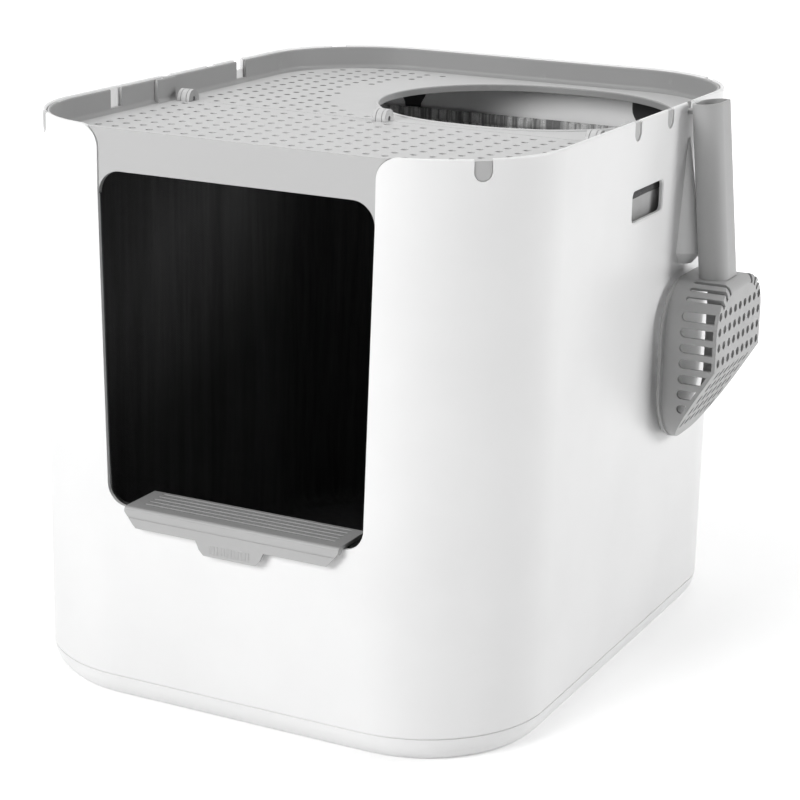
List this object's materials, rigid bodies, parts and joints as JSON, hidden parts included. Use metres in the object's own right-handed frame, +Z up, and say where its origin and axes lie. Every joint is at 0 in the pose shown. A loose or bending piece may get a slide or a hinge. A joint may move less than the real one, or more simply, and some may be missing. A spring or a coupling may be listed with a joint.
{
  "type": "top entry litter box",
  "caption": "Tall rounded litter box with a front entry, a hinged perforated lid with an oval top entry, a hanging liner bag, a clip-on sill and a hooked scoop.",
  "frame": {"origin": "on the floor under the middle of the tub's footprint", "axes": "+Z up, -Y towards the front entry, +X towards the side that the scoop hangs on"},
  "size_m": [0.482, 0.538, 0.4572],
  "materials": {
    "tub": "glossy white",
    "lid": "satin light grey",
    "scoop": "satin grey",
    "sill": "satin grey",
    "pin": "drawn",
    "liner_cloth": "woven charcoal",
    "binding_cloth": "ribbed dark grey tape"
  },
  "bodies": {
    "tub": {"base_shell": "tub", "liner": "liner_cloth", "liner_binding": "binding_cloth", "left_liner_tab": "binding_cloth", "right_liner_tab": "binding_cloth"},
    "rear_lid": {"rear_lid": "lid", "left_hinge_pin": "pin", "centre_hinge_pin": "pin", "right_hinge_pin": "pin"},
    "front_lid": {"front_lid": "lid"},
    "entry_sill": {"entry_sill": "sill"},
    "scoop": {"scoop": "scoop"}
  },
  "joints": [
    {"name": "lid_lift", "type": "slide", "parent": "tub", "child": "rear_lid", "axis": [0, 0, 1], "range_m": [0, 0.06]},
    {"name": "front_lid_hinge", "type": "hinge", "parent": "rear_lid", "child": "front_lid", "pos_m": [0, -0.0145, 0.436], "axis": [-1, 0, 0], "range_deg": [0, 95]},
    {"name": "sill_lift", "type": "slide", "parent": "tub", "child": "entry_sill", "axis": [0, 0, 1], "range_m": [0, 0.05]},
    {"name": "scoop_lift", "type": "slide", "parent": "tub", "child": "scoop", "axis": [0, 0, 1], "range_m": [0, 0.006]}
  ]
}
